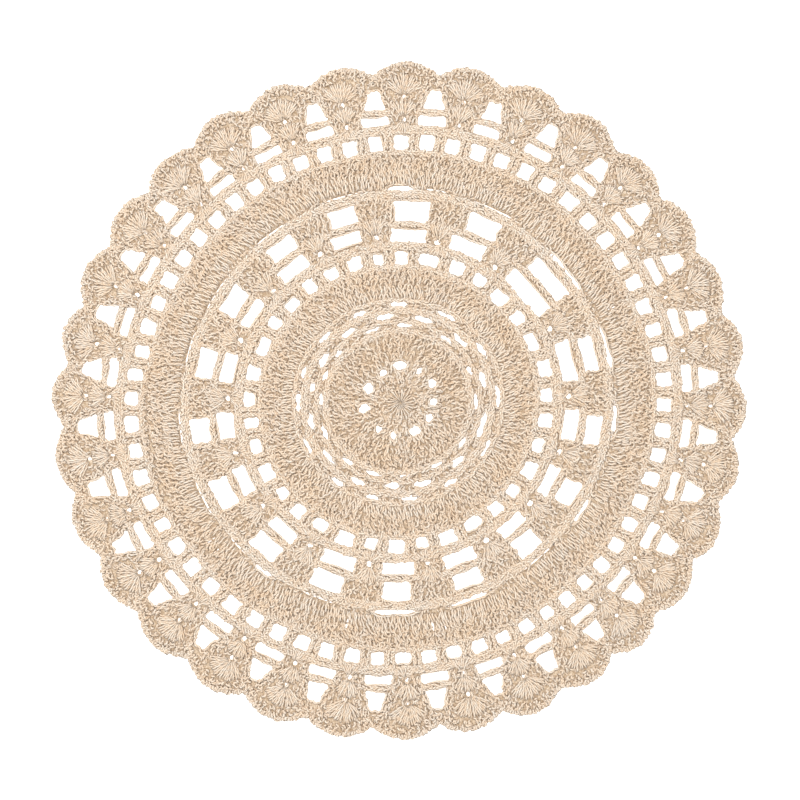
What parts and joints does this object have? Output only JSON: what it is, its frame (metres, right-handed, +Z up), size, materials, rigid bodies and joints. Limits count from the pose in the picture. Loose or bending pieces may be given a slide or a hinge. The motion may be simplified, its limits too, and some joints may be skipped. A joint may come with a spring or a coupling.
{
  "type": "crochet placemat",
  "caption": "Round openwork crochet placemat in natural cotton with a scalloped edge of fans and rings of windows; lies flat on a table under a plate.",
  "frame": {"origin": "middle of the mat's box on the surface that it lies on", "axes": "+Z up out of the mat's upper side, +X along its wider way, +Y along its narrower way"},
  "size_m": [0.3802, 0.3708, 0.0028],
  "materials": {
    "cotton": "matte natural ecru plied cotton yarn"
  },
  "bodies": {
    "root": {"mat": "cotton"}
  },
  "joints": []
}
